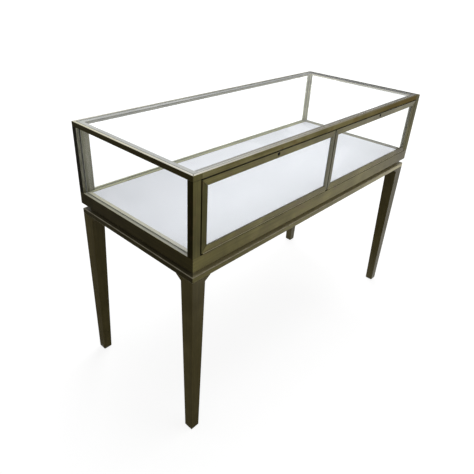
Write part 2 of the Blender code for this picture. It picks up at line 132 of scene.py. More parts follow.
# Long front pieces, whose colour changes to the right as painted shade, darker at the right end, and on the
# apron as painted reflection, lighter and bluer there: tones, weight of the lacquer, tint at a grazing view,
# and the share of each colour at the right end with the places along X between which it changes
RIGHT_END_LIGHT_AND_SHADE = {
    "top_rail_front": (
        PAINTED_REFLECTION_TOP_TONES, NO_LACQUER, (0.80, 0.71, 0.57, 1), ((0.42, 0.34, 0.16), (0.10, 0.48))),
    "base_rail_front": (
        BRONZE_TONES, LACQUER, (0.90, 0.87, 0.78, 1), ((0.46, 0.43, 0.34), (0.26, 0.54))),
    "right_door_bottom_rail": (
        BRONZE_TONES, LACQUER, (0.92, 0.89, 0.82, 1), ((0.46, 0.43, 0.36), (0.28, 0.54))),
    "apron_front": (
        BRONZE_TONES, LACQUER, (0.88, 0.88, 0.86, 1), ((2.7, 2.8, 5.6), (0.06, 0.50)))}

# Upper faces of the rails, pale with painted reflection and on the right top rail dark with painted shade:
# tint and tone at the low and the high end of each rail
LIGHT_AND_SHADE_TINTS = ((1.0, 0.975, 0.88), (1.0, 0.96, 0.76))
LIGHT_AND_SHADE_TINTS_OF = {
    "top_rail_front": ((1.0, 0.975, 0.88), (1.0, 0.84, 0.46)),
    "base_rail_back": ((1.0, 0.99, 0.70), (1.0, 0.98, 0.60))}
LIGHT_FADE_POWER = 2.2
RAIL_LIGHT_AND_SHADE_OF = {
    "top_rail_front": (0.66, 0.13), "top_rail_back": (0.70, 0.24), "top_rail_left": (0.66, 0.71),
    "top_rail_right": (0.05, 0.06), "base_rail_back": (0.50, 0.38), "base_rail_left": (0.68, 0.68),
    "base_rail_right": (0.30, 0.40)}
OUTSIDE_LEFT_REFLECTION = (0.46, 0.46)
INNER_FACE_REFLECTION_OF = {"top_rail_back": (0.47, 0.46), "top_rail_right": (0.96, 0.90)}

# Seal under the top glass, whose strips take painted light and shade: tones of its front and back strips
# from left to right, and of its end strips
SEAL_TINT = (1.0, 0.985, 0.94)
SEAL_PAINTED_SHADE_TINT = (1.0, 0.86, 0.60)
SEAL_FRONT = (0.52, 0.10)
SEAL_LEFT = 0.56
SEAL_BACK = (0.54, 0.20)
SEAL_RIGHT = 0.07
SEAL_WIDTH = 0.018
SEAL_CREAM = 0.006
SEAL_CREAM_END = 0.0096
CREAM_GAIN = (1.45, 0.8)
SEAL_DUST = 0.03

# Black chamfer round the mouth of each lock's hole: painted shade
HOLE_SHADE_WIDTH = 0.0012
HOLE_REACH = 0.006

# Glass: the share of its reflection that its coating takes away, its tints and the size of its marks
CALMED = 0.75
GLASS_IOR = 1.5
GLASS_TINTS = ((0.978, 0.986, 0.984), (0.994, 0.998, 0.998))
BENT_TINT = (0.99, 0.995, 0.995, 1)
PASSED_TINT = (0.96, 0.97, 0.97, 1)
WIPED_SIZES = (0.24, 0.24, 0.16)
GROUND_TONES = ((0.46, 0.53, 0.49), (0.60, 0.66, 0.63))
GROUND_GRAIN = 0.0012
SEALANT_IOR = 1.41
SEALANT_TONES = ((0.42, 0.42, 0.37), (0.62, 0.62, 0.56))
SEALANT_DUST = 0.02

# Boards, rubber and locks: the deepest and the brightest tone of each, size of grain, roughness and shine
DECK_TONES = ((0.83, 0.835, 0.885), (0.88, 0.885, 0.935))
DECK_GRAIN = 0.0011
DECK_ROUGHNESS = 0.42
PANEL_TONES = ((0.26, 0.25, 0.23), (0.34, 0.33, 0.31))
PANEL_GRAIN = 0.0016
PANEL_ROUGHNESS = 0.58
BOARD_IOR = 1.5
BOARD_CLOUD = 0.22
BEAD_TONES = ((0.30, 0.296, 0.28), (0.40, 0.395, 0.37))
BEAD_GRAIN = 0.0009
BEAD_ROUGHNESS = 0.66
BEAD_SHINE = 0.0
GLIDE_TONES = ((0.012, 0.012, 0.012), (0.035, 0.034, 0.033))
GLIDE_GRAIN = 0.0012
GLIDE_ROUGHNESS = 0.72
GLIDE_SHINE = 0.5
LOCK_TONES = ((0.004, 0.004, 0.004), (0.012, 0.012, 0.011))
LOCK_GRAIN = 0.0006
LOCK_ROUGHNESS = 0.5
LOCK_SHINE = 0.05
RUBBED_GRAINS = 14

# Brush marks, streaks and clouds, and the part of the noise's range that they use
NOISE_RANGE = (0.3, 0.7)
BRUSH_WIDTH = 0.0009
BRUSH_LENGTH = 0.11
STREAK_WIDTH = 0.006
STREAK_LENGTH = 0.32
PATINA_SIZE = 0.075
STAIN_SIZE = 0.028
BRUSH_RELIEF = 0.00012
FINE_RELIEF = 0.0001
PEBBLE_RELIEF = 0.0002

# Hinge screws, panel screws and lock nuts
SCREW_RADIUS = 0.0017
SCREW_HEIGHT = 0.0006
SCREW_SLOT = 0.0006
SCREW_PITCH = 0.068
SCREW_EDGE = 0.0030
HINGE_SHEET = 0.0008
PANEL_SCREW_RADIUS = 0.0036
PANEL_SCREW_HEIGHT = 0.0016
PANEL_SCREW_SLOT = 0.0011
PANEL_SCREW_PITCH = 0.19
PANEL_SCREW_EDGE = 0.0045
SCREW_CROWN = 0.82
SCREW_RECESS_REACH = 1.1
SCREW_RECESS_LIFT = -0.35
NUT_RADIUS = 0.0066
NUT_HEIGHT = 0.0018
NUT_SIDES = 6
NUT_GAP = 0.0001
ROUND_SIDES = 24

# Line of clear sealant in the corner between glass and frame
SEALANT_RADIUS = 0.0007
SEALANT_SIDES = 8
SEALANT_GAP = 0.00005

# Camera, fitted to the corners and feet in the photograph
IMAGE_SIDE = 474
CAMERA_PLACE = Vector((-1.2443, -0.9568, 1.3012))
CAMERA_YAW = math.radians(47.617)
CAMERA_PITCH = math.radians(29.696)
CAMERA_ROLL = math.radians(2.793)
FOCAL_PIXELS = 461.31
IMAGE_CENTRE = (226.87, 224.06)
SENSOR = 36.0
SIGHT = 200

# Studio; each softbox has a place, width, height and power
WORLD_FILL = 0.35
FLOOR_REACH = 60.0
FLOOR_GREY = (0.33, 0.33, 0.33, 1)
FLOOR_LIFT = 0.84
FLOOR_NEAR = 1.3
FLOOR_FAR = 3.2
SCREEN_BLACK = (0.01, 0.01, 0.01, 1)
SCREEN_GLOW = (1.0, 0.92, 0.8, 1)
SCREEN_POWER = 0.12
AIM = Vector((0.0, 0.0, 0.7))
SOFTBOXES = {
    "overhead_softbox": ((0.3, -0.2, 3.2), 2.4, 1.6, 34),
    "back_softbox": ((1.7, 1.2, 3.2), 2.0, 0.7, 30)}


# Node helpers

def add_node(tree, kind, inputs=None, **settings):
    """A node with its settings made, and each input set to a value or linked to a socket."""
    node = tree.nodes.new(kind)
    for name, value in settings.items():
        setattr(node, name, value)
    for key, value in (inputs or {}).items():
        if isinstance(value, bpy.types.NodeSocket):
            tree.links.new(value, node.inputs[key])
        else:
            node.inputs[key].default_value = value
    return node


def new_finish(name, values):
    """A material with one Principled shader, and the values that are the same all over it."""
    material = bpy.data.materials.new(name)
    material.use_nodes = True
    shader = material.node_tree.nodes["Principled BSDF"]
    for key, value in values.items():
        shader.inputs[key].default_value = value
    return material, material.node_tree, shader


def object_place(tree):
    return add_node(tree, "ShaderNodeTexCoord").outputs["Object"]


def parts_of(tree, place):
    """X, Y and Z of a place."""
    return add_node(tree, "ShaderNodeSeparateXYZ", {0: place}).outputs


def spread(tree, value, low, high, to_low, to_high):
    """A value carried from one range to another, and held at its ends."""
    return add_node(tree, "ShaderNodeMapRange", {
        "Value": value, "From Min": low, "From Max": high, "To Min": to_low, "To Max": to_high}).outputs[0]


def fit(tree, value, low, high):
    """A value from 0 to 1 carried to another range."""
    return spread(tree, value, 0.0, 1.0, low, high)


def reckon(tree, operation, first, second):
    return add_node(tree, "ShaderNodeMath", {0: first, 1: second}, operation=operation).outputs[0]


def weigh(tree, first, first_share, second, second_share):
    """Two values added, each times its share."""
    parts = [reckon(tree, "MULTIPLY", *pair) for pair in ((first, first_share), (second, second_share))]
    return reckon(tree, "ADD", *parts)


def blend(tree, factor, first, second, kind="MIX"):
    """One colour over another, each an RGB value or a socket."""
    sockets = [c if isinstance(c, bpy.types.NodeSocket) else (*c, 1) for c in (first, second)]
    inputs = {0: factor, 6: sockets[0], 7: sockets[1]}
    return add_node(tree, "ShaderNodeMix", inputs, data_type="RGBA", blend_type=kind).outputs[2]


def grey_of(tree, tone):
    return add_node(tree, "ShaderNodeCombineColor", {0: tone, 1: tone, 2: tone}).outputs[0]


def shaded(tree, colour, shade):
    """A colour times another."""
    return blend(tree, 1.0, colour, shade, "MULTIPLY")


def grain(tree, place, sizes, detail=2.0, distortion=0.0):
    """Noise from 0 to 1 whose marks have the given size along X, Y and Z."""
    scale = [1 / size for size in sizes]
    stretched = add_node(tree, "ShaderNodeMapping", {"Vector": place, "Scale": scale})
    noise = add_node(tree, "ShaderNodeTexNoise", {
        "Vector": stretched.outputs[0], "Scale": 1.0, "Detail": detail, "Distortion": distortion})
    return spread(tree, noise.outputs[0], *NOISE_RANGE, 0.0, 1.0)


def along_axis(axis, length, width):
    return [length if i == axis else width for i in range(3)]


def brush_lines(tree, place, axis):
    return grain(tree, place, along_axis(axis, BRUSH_LENGTH, BRUSH_WIDTH), 3.0)


def streaks(tree, place, axis):
    return grain(tree, place, along_axis(axis, STREAK_LENGTH, STREAK_WIDTH), 2.0)


def clouds(tree, place):
    return grain(tree, place, [PATINA_SIZE] * 3, 4.0, 0.4)


def feed(tree, shader, colour, roughness):
    tree.links.new(colour, shader.inputs["Base Color"])
    tree.links.new(roughness, shader.inputs["Roughness"])


def bump(tree, shader, height, strength, distance):
    relief = add_node(tree, "ShaderNodeBump", {
        "Height": height, "Strength": strength, "Distance": distance})
    tree.links.new(relief.outputs[0], shader.inputs["Normal"])


# Finishes

def brushed_metal(name, axis, tones, lacquer=LACQUER, grazing=WHITE, right_end_light_and_shade=None, stain=BRONZE_STAIN,
                  roughness=BRONZE_ROUGHNESS):
    """Metal brushed along one axis, with streaks, clouds of patina and stains.

    Its colours may change towards the +X end: painted shade on most pieces, painted reflection on the apron.
    """
    material, tree, shader = new_finish(name, {
        "Metallic": 1.0, "Specular Tint": grazing, "Coat Weight": lacquer,
        "Coat Roughness": LACQUER_ROUGHNESS})
    place = object_place(tree)
    brush = brush_lines(tree, place, axis)
    streak = streaks(tree, place, axis)
    patina = clouds(tree, place)
    stains = grain(tree, place, along_axis(axis, 2 * STAIN_SIZE, STAIN_SIZE), 5.0, 0.8)
    colour = blend(tree, weigh(tree, streak, 0.45, patina, 0.55), *tones)
    colour = blend(tree, spread(tree, stains, 0.62, 1.0, 0.0, 0.7), colour, stain)
    # Painted shade and reflection that change towards the right end
    if right_end_light_and_shade:
        share, reach = right_end_light_and_shade
        along = parts_of(tree, place)[0]
        colour = blend(tree, spread(tree, along, *reach, 0.0, 1.0), colour, share, "MULTIPLY")
    colour = shaded(tree, colour, grey_of(tree, fit(tree, brush, 0.74, 1.22)))
    brushed = fit(tree, brush, roughness - 0.06, roughness + 0.06)
    feed(tree, shader, colour, reckon(tree, "ADD", brushed, fit(tree, patina, 0.05, -0.05)))
    relief = reckon(tree, "ADD", brush, reckon(tree, "MULTIPLY", streak, 0.6))
    bump(tree, shader, relief, 0.22, BRUSH_RELIEF)
    return material


def dark_coat(name, axis, tones, sheen=COAT_SHEEN):
    """Bronze coat with a low sheen: long faint streaks, clouds and brush lines."""
    material, tree, shader = new_finish(name, {"Specular IOR Level": sheen})
    place = object_place(tree)
    brush = brush_lines(tree, place, axis)
    patina = clouds(tree, place)
    colour = blend(tree, weigh(tree, streaks(tree, place, axis), 0.35, patina, 0.65), *tones)
    colour = shaded(tree, colour, grey_of(tree, fit(tree, brush, 0.8, 1.15)))
    feed(tree, shader, colour, fit(tree, patina, *COAT_ROUGHNESS))
    bump(tree, shader, brush, 0.15, FINE_RELIEF)
    return material


def light_and_shade_coat(name, axis, half, tones, tints):
    """Face of a rail with painted reflection and shade: a coat that fades from end to end, with brush lines
    and clouds.
    """
    material, tree, shader = new_finish(name, {"Specular IOR Level": 0.0})
    place = object_place(tree)
    brush = brush_lines(tree, place, axis)
    patina = clouds(tree, place)
    along = parts_of(tree, place)[axis]
    near = reckon(tree, "POWER", spread(tree, along, -half, half, 1.0, 0.0), LIGHT_FADE_POWER)
    ends = [[tone * part for part in tint] for tone, tint in zip(tones, tints)]
    colour = blend(tree, near, ends[1], ends[0])
    tone = reckon(tree, "ADD", fit(tree, brush, 0.42, 0.56), fit(tree, patina, 0.42, 0.60))
    feed(tree, shader, shaded(tree, colour, grey_of(tree, tone)), fit(tree, patina, *COAT_ROUGHNESS))
    bump(tree, shader, brush, 0.15, FINE_RELIEF)
    return material


def highlight_edge_coat(name):
    """Rounded edge of a bar with a painted highlight: a pale, mottled coat."""
    material, tree, shader = new_finish(name, {"Specular IOR Level": COAT_SHEEN})
    place = object_place(tree)
    highlight_mottle = grain(tree, place, [STAIN_SIZE] * 3, 4.0)
    nick = grain(tree, place, [BRUSH_WIDTH * 3] * 3, 2.0)
    feed(tree, shader, blend(tree, highlight_mottle, *HIGHLIGHT_EDGE_TONES), fit(tree, nick, 0.40, 0.56))
    bump(tree, shader, nick, 0.2, FINE_RELIEF)
    return material


def clear_glass(name):
    """Low-reflection glass that lets lamplight and bounced light through to the deck."""
    material, tree, shader = new_finish(name, {
        "Transmission Weight": 1.0, "IOR": GLASS_IOR, "Specular IOR Level": 0.01})
    wiped = grain(tree, object_place(tree), WIPED_SIZES, 3.0, 0.6)
    smear = spread(tree, wiped, 0.55, 1.0, 0.0, 0.012)
    feed(tree, shader, blend(tree, wiped, *GLASS_TINTS), smear)
    bent = add_node(tree, "ShaderNodeBsdfRefraction", {
        "Color": BENT_TINT, "Roughness": 0.0, "IOR": GLASS_IOR})
    calmed = add_node(tree, "ShaderNodeMixShader", {0: CALMED, 1: shader.outputs[0], 2: bent.outputs[0]})
    rays = add_node(tree, "ShaderNodeLightPath").outputs
    passed = add_node(tree, "ShaderNodeBsdfTransparent", {"Color": PASSED_TINT})
    bounced = add_node(tree, "ShaderNodeMixShader", {
        0: rays["Is Diffuse Ray"], 1: calmed.outputs[0], 2: passed.outputs[0]})
    lit = add_node(tree, "ShaderNodeMixShader", {
        0: rays["Is Shadow Ray"], 1: bounced.outputs[0], 2: passed.outputs[0]})
    tree.links.new(lit.outputs[0], tree.nodes["Material Output"].inputs["Surface"])
    return material


def glass_edge(name):
    """Ground edge of a pane, green with depth and slightly frosted."""
    material, tree, shader = new_finish(name, {"Transmission Weight": 0.6, "IOR": GLASS_IOR})
    ground = grain(tree, object_place(tree), [GROUND_GRAIN] * 3, 2.0)
    feed(tree, shader, blend(tree, ground, *GROUND_TONES), fit(tree, ground, 0.12, 0.26))
    bump(tree, shader, ground, 0.15, FINE_RELIEF)
    return material


def satin_board(name, tones, speck_size, roughness):
    """Coated board: faint clouding, fine pebbled coat."""
    material, tree, shader = new_finish(name, {"IOR": BOARD_IOR})
    place = object_place(tree)
    cloud = grain(tree, place, [BOARD_CLOUD] * 3, 3.0)
    pebble = grain(tree, place, [speck_size] * 3, 2.0)
    shade = blend(tree, pebble, (0.975, 0.975, 0.975), (1.0, 1.0, 1.0))
    colour = shaded(tree, blend(tree, cloud, *tones), shade)
    feed(tree, shader, colour, fit(tree, cloud, roughness - 0.05, roughness + 0.05))
    bump(tree, shader, pebble, 0.12, PEBBLE_RELIEF)
    return material


def dull_coat(name, tones, grain_size, roughness, shine):
    """Rubber or coated metal: fine speckle and uneven gloss."""
    material, tree, shader = new_finish(name, {"Specular IOR Level": shine})
    place = object_place(tree)
    speckle = grain(tree, place, [grain_size] * 3, 3.0)
    rubbed = grain(tree, place, [grain_size * RUBBED_GRAINS] * 3, 3.0)
    gloss = fit(tree, rubbed, roughness - 0.1, roughness + 0.1)
    feed(tree, shader, blend(tree, speckle, *tones), gloss)
    bump(tree, shader, speckle, 0.2, FINE_RELIEF)
    return material


def seal_rubber(name, box):
    """Wide dusty seal under the top glass, whose four strips differ in tone as painted light and shade.

    The front strip has a cream outer edge and gets darker and browner to the right, a painted shade.
    """
    material, tree, shader = new_finish(name, {"Specular IOR Level": 0.0})
    low, high = box
    place = object_place(tree)
    x, y = parts_of(tree, place)[:2]
    # Painted light and shade: strip tones that fade along X and differ from strip to strip
    left_end = reckon(tree, "POWER", spread(tree, x, low.x, high.x, 1.0, 0.0), LIGHT_FADE_POWER)
    tone = spread(tree, left_end, 1.0, 0.0, *SEAL_FRONT)
    back = spread(tree, x, low.x, high.x, *SEAL_BACK)
    edge = spread(tree, y, low.y + SEAL_CREAM, low.y + SEAL_CREAM_END, *CREAM_GAIN)
    tone = reckon(tree, "MULTIPLY", tone, edge)
    for value, limit, sense, strip in (
            (x, low.x + SEAL_WIDTH, "LESS_THAN", SEAL_LEFT),
            (y, high.y - SEAL_WIDTH, "GREATER_THAN", back),
            (x, high.x - SEAL_WIDTH, "GREATER_THAN", SEAL_RIGHT)):
        inside = reckon(tree, sense, value, limit)
        tone = add_node(tree, "ShaderNodeMix", {0: inside, 2: tone, 3: strip}).outputs[0]
    speckle = grain(tree, place, [BEAD_GRAIN] * 3, 3.0)
    dust = grain(tree, place, [SEAL_DUST] * 3, 3.0)
    tone = reckon(tree, "MULTIPLY", tone, fit(tree, speckle, 0.9, 1.06))
    # The browner tint at the right of the front strip is part of its painted shade
    outside_far_shade = reckon(tree, "MAXIMUM", left_end, reckon(tree, "GREATER_THAN", y, low.y + SEAL_WIDTH))
    tint = blend(tree, outside_far_shade, SEAL_PAINTED_SHADE_TINT, SEAL_TINT)
    feed(tree, shader, shaded(tree, grey_of(tree, tone), tint), fit(tree, dust, 0.56, 0.76))
    bump(tree, shader, speckle, 0.2, FINE_RELIEF)
    return material


def sealant_clear(name):
    """Translucent line of sealant, slightly grey with dust."""
    material, tree, shader = new_finish(name, {"Transmission Weight": 0.35, "IOR": SEALANT_IOR})
    dust = grain(tree, object_place(tree), [SEALANT_DUST] * 3, 4.0)
    feed(tree, shader, blend(tree, dust, *SEALANT_TONES), fit(tree, dust, 0.3, 0.5))
    return material


BRONZE = [brushed_metal(f"brushed_bronze_{AXES[i]}", i, BRONZE_TONES) for i in range(3)]
# Apart from the plain bronze, the legs and the steel, these finishes carry painted light, shade and
# reflection, and the edge coat a painted highlight
SHADED_UPRIGHT_BRONZE = brushed_metal("shaded_upright_bronze", 2, SHADED_UPRIGHT_TONES, THIN_LACQUER, UPRIGHT_GRAZING)
SHADED_FRONT_POST_BRONZE = brushed_metal("front_post_bronze", 2, SHADED_FRONT_POST_TONES, THIN_LACQUER, UPRIGHT_GRAZING)
GREY_REFLECTION_MIDDLE_BRONZE = brushed_metal("middle_stile_painted_reflection", 2, GREY_REFLECTION_MIDDLE_TONES)
LEG_BRONZE = dark_coat("leg_bronze", 2, LEG_TONES, LEG_SHEEN)
LIT_BACK_BRONZE = brushed_metal("lit_back_bronze", 2, LIT_BACK_TONES, stain=LIT_BACK_STAIN)
PAINTED_SHADE_BRONZE = dark_coat("painted_shade_post_bronze", 2, PAINTED_SHADE_TONES)
LIT_FRONT_LEDGE = dark_coat("front_ledge_bronze", 0, LIT_LEDGE_TONES)
SHADED_SIDE_LEDGE = [dark_coat(f"shaded_side_ledge_bronze_{AXES[i]}", i, SHADED_SIDE_LEDGE_TONES) for i in range(2)]
LIT_INNER_BRONZE = dark_coat("lit_inner_face_bronze", 2, LIT_INNER_TONES)
LIT_BACK_RIGHT_POST = dark_coat("pale_post_bronze", 2, LIT_BACK_RIGHT_POST_TONES)
LIT_HINGE_BRONZE = dark_coat("lit_hinge_bronze", 0, LIT_HINGE_TONES)
SHADED_LIP_BRONZE = dark_coat("shaded_door_lip_bronze", 0, SHADED_LIP_TONES)
STEEL = brushed_metal(
    "plain_steel", 0, STEEL_TONES, NO_LACQUER, stain=STEEL_STAIN, roughness=STEEL_ROUGHNESS)
HIGHLIGHT_EDGE = highlight_edge_coat("highlight_bronze_edge")
CLEAR_GLASS = clear_glass("clear_glass")
GLASS_EDGE = glass_edge("ground_glass_edge")
DECK_WHITE = satin_board("white_deck_board", DECK_TONES, DECK_GRAIN, DECK_ROUGHNESS)
PANEL_GREY = satin_board("grey_panel_board", PANEL_TONES, PANEL_GRAIN, PANEL_ROUGHNESS)
SEAL_GREY = seal_rubber("seal_rubber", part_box("top_glass_seal"))
BEAD_GREY = dull_coat("bead_rubber", BEAD_TONES, BEAD_GRAIN, BEAD_ROUGHNESS, BEAD_SHINE)
GLIDE_BLACK = dull_coat("glide_rubber", GLIDE_TONES, GLIDE_GRAIN, GLIDE_ROUGHNESS, GLIDE_SHINE)
LOCK_BLACK = dull_coat("lock_black", LOCK_TONES, LOCK_GRAIN, LOCK_ROUGHNESS, LOCK_SHINE)
SEALANT = sealant_clear("glazing_sealant")


# Making pieces

def settle(piece):
    """Turns what the modifiers give into the piece's own plain mesh."""
    evaluated = piece.evaluated_get(bpy.context.evaluated_depsgraph_get())
    made = bpy.data.meshes.new_from_object(evaluated)
    piece.modifiers.clear()
    piece.data = made
    made.name = piece.name


def add_object(name, data):
    piece = bpy.data.objects.new(name, data)
    bpy.context.scene.collection.objects.link(piece)
    return piece


def long_axis(node):
    low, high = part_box(node)
    return max(range(3), key=lambda i: high[i] - low[i])


def thin_axis(node):
    low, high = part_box(node)
    return min(range(3), key=lambda i: high[i] - low[i])


def looks(way):
    return lambda face: face.normal.dot(way) > FACING


def across(axis, least=FACING):
    return lambda face: abs(face.normal[axis]) > least


def in_groove(box, axis):
    """Faces across an axis that lie inside a bar's outer sides."""
    low, high = box[0][axis] + MERGE, box[1][axis] - MERGE
    return lambda face: abs(face.normal[axis]) > FACING and low < face.calc_center_median()[axis] < high


def up_left_of(limit):
    return lambda face: face.normal.z > FACING and face.calc_center_median().x < limit


def front_beyond(side, reach):
    """Front faces that lie further than a reach from the middle, on the left (-1) or the right (1)."""
    return lambda face: face.normal.y < -FACING and side * face.calc_center_median().x > reach


def shade_hole_mouth(shape, middle, index):
    """Cuts a chamfer at 45 degrees round the front end of a hole along Y, with its own material, for a
    painted shade.
    """
    front = min(v.co.y for v in shape.verts)

    def at_mouth(v):
        away = math.hypot(v.co.x - middle.x, v.co.z - middle.z)
        return abs(v.co.y - front) < MERGE and away < HOLE_REACH

    ring = [
        edge for edge in shape.edges
        if all(at_mouth(v) for v in edge.verts) and abs(edge.calc_face_angle(0.0)) > SHARP_ANGLE]
    bmesh.ops.bevel(shape, geom=ring, offset=HOLE_SHADE_WIDTH, segments=1, affect="EDGES", material=index)


def soften(node, finish, width, edge_finish=None, steps=2, rim_axis=None, coats=(), cuts=(), hole=None,
           sharp=None):
    """A copy of a node with its outer edges rounded, which stands for it.

    Edges take the piece's own finish unless another is given, and faces off rim_axis count as edges.
    Coats are pairs of a choice of faces and the finish they take. Cuts are places along X where the copy is
    cut. A hole is the middle of one whose mouth gets a black chamfer, a painted shade. Sharp is a choice of
    faces whose edges stay as they are.
    """
    source = frame["nodes"][node].data
    mesh = bpy.data.meshes.new(f"{node}_finished")
    mesh.from_pydata([v.co for v in source.vertices], [], [p.vertices for p in source.polygons])
    shape = bmesh.new()
    shape.from_mesh(mesh)
    bmesh.ops.remove_doubles(shape, verts=shape.verts, dist=MERGE)
    bmesh.ops.dissolve_limit(shape, angle_limit=FLAT_ANGLE, verts=shape.verts, edges=shape.edges)
    for x in cuts:
        everything = [*shape.verts, *shape.edges, *shape.faces]
        bmesh.ops.bisect_plane(shape, geom=everything, plane_co=(x, 0, 0), plane_no=(1, 0, 0))
    weight = shape.edges.layers.float.new("bevel_weight_edge")
    for edge in shape.edges:
        kept = sharp and any(sharp(face) for face in edge.link_faces)
        if edge.is_convex and edge.calc_face_angle(0.0) > SHARP_ANGLE and not kept:
            edge[weight] = 1.0
    for face in shape.faces:
        on_rim = rim_axis is not None and abs(face.normal[rim_axis]) < RIM
        face.material_index = int(on_rim)
        for i, (chosen, coat) in enumerate(coats):
            if chosen(face):
                face.material_index = 2 + i
    if hole:
        shade_hole_mouth(shape, hole, 2 + len(coats))
    shape.to_mesh(mesh)
    shape.free()
    for coat in (finish, edge_finish or finish, *(coat for chosen, coat in coats), LOCK_BLACK):
        mesh.materials.append(coat)
    piece = add_object(mesh.name, mesh)
    rounding = piece.modifiers.new("Rounded edges", "BEVEL")
    rounding.limit_method = "WEIGHT"
    rounding.width = width
    rounding.segments = steps
    rounding.harden_normals = True
    rounding.material = 1
    settle(piece)
    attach(piece, BODY_OF[node])
    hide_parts(node)


def finish_node(node, finish):
    """A new finish on a node whose own shape stays."""
    materials = frame["nodes"][node].data.materials
    materials.clear()
    materials.append(finish)


# Trees for what repeats or follows a path

def geometry_tree(name, sizes):
    """A geometry tree that takes a mesh and named inputs; gives the tree and its input sockets."""
    tree = bpy.data.node_groups.new(name, "GeometryNodeTree")
    tree.interface.new_socket("Geometry", in_out="INPUT", socket_type="NodeSocketGeometry")
    for label, kind in sizes.items():
        tree.interface.new_socket(label, in_out="INPUT", socket_type=f"NodeSocket{kind}")
    tree.interface.new_socket("Geometry", in_out="OUTPUT", socket_type="NodeSocketGeometry")
    return tree, tree.nodes.new("NodeGroupInput").outputs


def end_tree(tree, geometry, material):
    real = add_node(tree, "GeometryNodeRealizeInstances", {"Geometry": geometry})
    coated = add_node(tree, "GeometryNodeSetMaterial", {"Geometry": real.outputs[0], "Material": material})
    add_node(tree, "NodeGroupOutput", {"Geometry": coated.outputs[0]})


def set_on_points(tree, points, head):
    """Copies of a head on each point, turned so that its +Z lies along the point's facing."""
    facing = add_node(tree, "GeometryNodeInputNamedAttribute", {"Name": "facing"}, data_type="FLOAT_VECTOR")
    turn = add_node(tree, "FunctionNodeAlignRotationToVector", {"Vector": facing.outputs[0]}, axis="Z")
    return add_node(tree, "GeometryNodeInstanceOnPoints", {
        "Points": points, "Instance": head, "Rotation": turn.outputs[0]}).outputs[0]


def box_in_tree(tree, size_x, size_y, size_z, lift):
    size = add_node(tree, "ShaderNodeCombineXYZ", {0: size_x, 1: size_y, 2: size_z})
    offset = add_node(tree, "ShaderNodeCombineXYZ", {2: lift})
    cube = add_node(tree, "GeometryNodeMeshCube", {"Size": size.outputs[0]})
    return add_node(tree, "GeometryNodeTransform", {
        "Geometry": cube.outputs[0], "Translation": offset.outputs[0]}).outputs[0]


def screw_tree():
    """Countersunk heads with a crossed recess, standing from each point along its facing."""
    tree, given = geometry_tree("Crossed screws", {
        "Head Radius": "Float", "Head Height": "Float", "Recess Width": "Float", "Sides": "Int",
        "Material": "Material"})
    radius, height, slot = given["Head Radius"], given["Head Height"], given["Recess Width"]
    crown = reckon(tree, "MULTIPLY", radius, SCREW_CROWN)
    cone = add_node(tree, "GeometryNodeMeshCone", {
        "Vertices": given["Sides"], "Radius Top": crown, "Radius Bottom": radius, "Depth": height})
    reach = reckon(tree, "MULTIPLY", radius, SCREW_RECESS_REACH)
    long_bar = box_in_tree(tree, reach, slot, height, height)
    cross_bar = box_in_tree(tree, slot, reach, height, height)
    recess = add_node(tree, "GeometryNodeMeshBoolean", {"Mesh 2": long_bar}, operation="UNION")
    tree.links.new(cross_bar, recess.inputs["Mesh 2"])
    depth = add_node(tree, "ShaderNodeCombineXYZ", {2: reckon(tree, "MULTIPLY", height, SCREW_RECESS_LIFT)})
    sunk = add_node(tree, "GeometryNodeTransform", {
        "Geometry": recess.outputs[0], "Translation": depth.outputs[0]})
    head = add_node(tree, "GeometryNodeMeshBoolean", {
        "Mesh 1": cone.outputs[0], "Mesh 2": sunk.outputs[0]}, operation="DIFFERENCE")
    end_tree(tree, set_on_points(tree, given["Geometry"], head.outputs[0]), given["Material"])
    return tree


def nut_tree():
    """A six-sided ring round each point, with its axis along the point's facing."""
    tree, given = geometry_tree("Lock nuts", {
        "Radius": "Float", "Bore": "Float", "Height": "Float", "Sides": "Int", "Bore Sides": "Int",
        "Material": "Material"})
    height = given["Height"]
    block = add_node(tree, "GeometryNodeMeshCylinder", {
        "Vertices": given["Sides"], "Radius": given["Radius"], "Depth": height})
    through = reckon(tree, "MULTIPLY", height, 2.0)
    bore = add_node(tree, "GeometryNodeMeshCylinder", {
        "Vertices": given["Bore Sides"], "Radius": given["Bore"], "Depth": through})
    ring = add_node(tree, "GeometryNodeMeshBoolean", {
        "Mesh 1": block.outputs[0], "Mesh 2": bore.outputs[0]}, operation="DIFFERENCE")
    end_tree(tree, set_on_points(tree, given["Geometry"], ring.outputs[0]), given["Material"])
    return tree


def sealant_tree():
    """A thin round line that follows the edges of a mesh."""
    tree, given = geometry_tree("Sealant line", {"Radius": "Float", "Sides": "Int", "Material": "Material"})
    path = add_node(tree, "GeometryNodeMeshToCurve", {"Mesh": given["Geometry"]})
    section = add_node(tree, "GeometryNodeCurvePrimitiveCircle", {
        "Resolution": given["Sides"], "Radius": given["Radius"]})
    line = add_node(tree, "GeometryNodeCurveToMesh", {
        "Curve": path.outputs[0], "Profile Curve": section.outputs[0]})
    end_tree(tree, line.outputs[0], given["Material"])
    return tree


def grow(name, tree, sizes, seed, body):
    """A piece grown by a tree from a seed mesh, as a plain mesh that moves with a body."""
    piece = add_object(name, seed)
    modifier = piece.modifiers.new(tree.name, "NODES")
    modifier.node_group = tree
    for socket in tree.interface.items_tree:
        if socket.in_out == "INPUT" and socket.name in sizes:
            modifier[socket.identifier] = sizes[socket.name]
    settle(piece)
    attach(piece, body)


def point_seed(name, spots):
    """A mesh of single points, each a place and the way it faces."""
    mesh = bpy.data.meshes.new(name)
    mesh.from_pydata([place for place, facing in spots], [], [])
    stored = mesh.attributes.new("facing", "FLOAT_VECTOR", "POINT")
    for item, (place, facing) in zip(stored.data, spots):
        item.vector = facing
    return mesh


